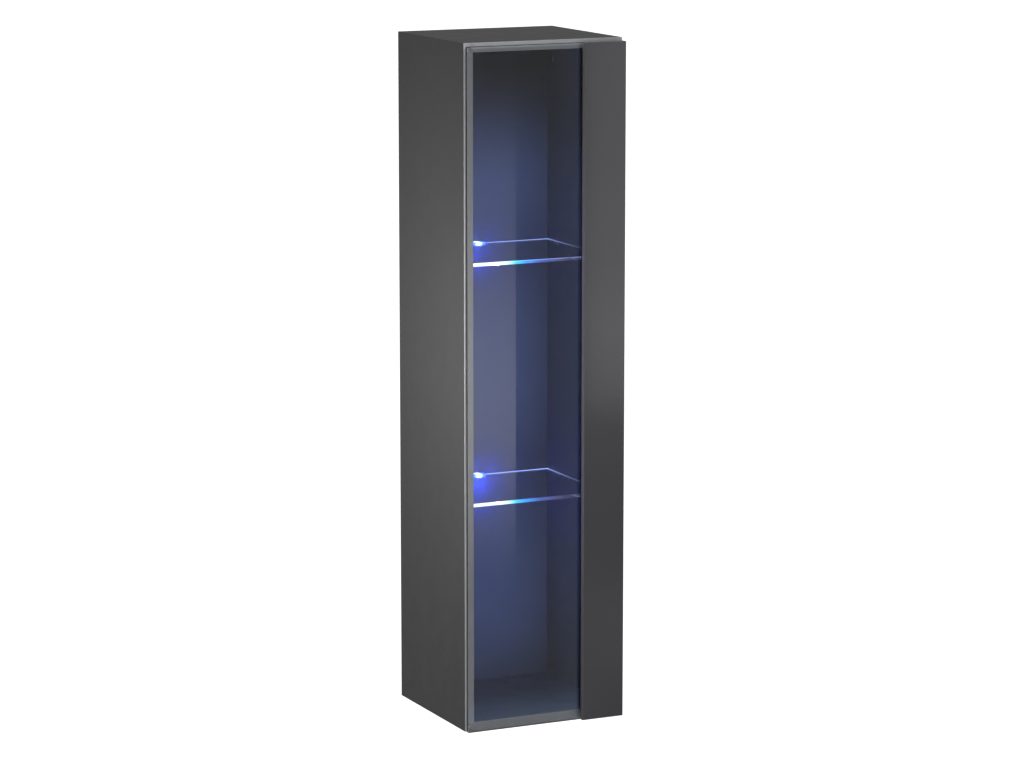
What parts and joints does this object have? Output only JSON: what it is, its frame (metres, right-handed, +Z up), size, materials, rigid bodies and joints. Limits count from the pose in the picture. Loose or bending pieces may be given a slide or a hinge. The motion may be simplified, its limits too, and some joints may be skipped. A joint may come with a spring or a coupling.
{
  "type": "wall mounted showcase",
  "caption": "Tall narrow wall cabinet for display: board carcass, lit glass shelves, and an overlay glass door hung on a gloss hinge-side panel.",
  "frame": {"origin": "midway between the entry holes of the two keyhole hanger plates, on the wall plane", "axes": "+Z up, +Y into the wall, +X to the right of someone facing the door"},
  "size_m": [0.3, 0.2965, 1.2],
  "materials": {
    "cabinet_board": "graphite grey melamine faced board, satin",
    "back_board": "lacquered hardboard, matt",
    "edge_band": "light silver grey ABS edging, satin",
    "zinc": "die-cast zinc",
    "beech": "raw beech",
    "cap_plastic": "dark grey plastic",
    "hardware_steel": "nickel plated",
    "screw_steel": "zinc plated",
    "black_plastic": "black moulded plastic",
    "clear_pad": "clear soft polyurethane",
    "shelf_glass": "clear float glass, ground edges",
    "clip_plastic": "clear polycarbonate",
    "led_lens": "emissive blue-white light guide",
    "door_glass": "clear tempered glass, polished edges",
    "gloss_lacquer": "high gloss graphite lacquer on MDF",
    "aluminium_bar": "anodised"
  },
  "bodies": {
    "root": {"left_side_panel": "cabinet_board", "right_side_panel": "cabinet_board", "top_panel": "cabinet_board", "bottom_panel": "cabinet_board", "back_panel": "back_board", "front_edge_band_left": "edge_band", "front_edge_band_right": "edge_band", "front_edge_band_top": "edge_band", "front_edge_band_bottom": "edge_band", "cam_locks": "zinc", "cam_bolts": "zinc", "dowels": "beech", "cam_cover_caps": "cap_plastic", "link_hole_caps": "cap_plastic", "hanger_plate_left": "hardware_steel", "hanger_plate_right": "hardware_steel", "hanger_screws": "screw_steel", "cable_grommet": "black_plastic", "shelf_supports_upper": "hardware_steel", "shelf_supports_lower": "hardware_steel", "shelf_pads_upper": "clear_pad", "shelf_pads_lower": "clear_pad", "glass_shelf_upper": "shelf_glass", "glass_shelf_lower": "shelf_glass", "led_clip_upper": "clip_plastic", "led_clip_lower": "clip_plastic", "led_lens_upper": "led_lens", "led_lens_lower": "led_lens", "hinge_plate_bottom": "hardware_steel", "hinge_plate_middle": "hardware_steel", "hinge_plate_top": "hardware_steel", "hinge_arm_bottom": "hardware_steel", "hinge_arm_middle": "hardware_steel", "hinge_arm_top": "hardware_steel", "hinge_plate_screws": "screw_steel", "hinge_adjust_screws": "screw_steel", "door_bumpers": "clear_pad"},
    "door": {"door_glass": "door_glass", "accent_panel": "gloss_lacquer", "glass_retainer_bar": "aluminium_bar", "retainer_screws": "screw_steel", "hinge_cup_bottom": "hardware_steel", "hinge_cup_middle": "hardware_steel", "hinge_cup_top": "hardware_steel", "hinge_cup_screws": "screw_steel", "hinge_pin_bottom": "screw_steel", "hinge_pin_middle": "screw_steel", "hinge_pin_top": "screw_steel"}
  },
  "joints": [
    {"name": "door_swing", "type": "hinge", "parent": "root", "child": "door", "pos_m": [0.1405, -0.2898, -0.5408], "axis": [0, 0, 1], "range_deg": [0, 95]}
  ]
}
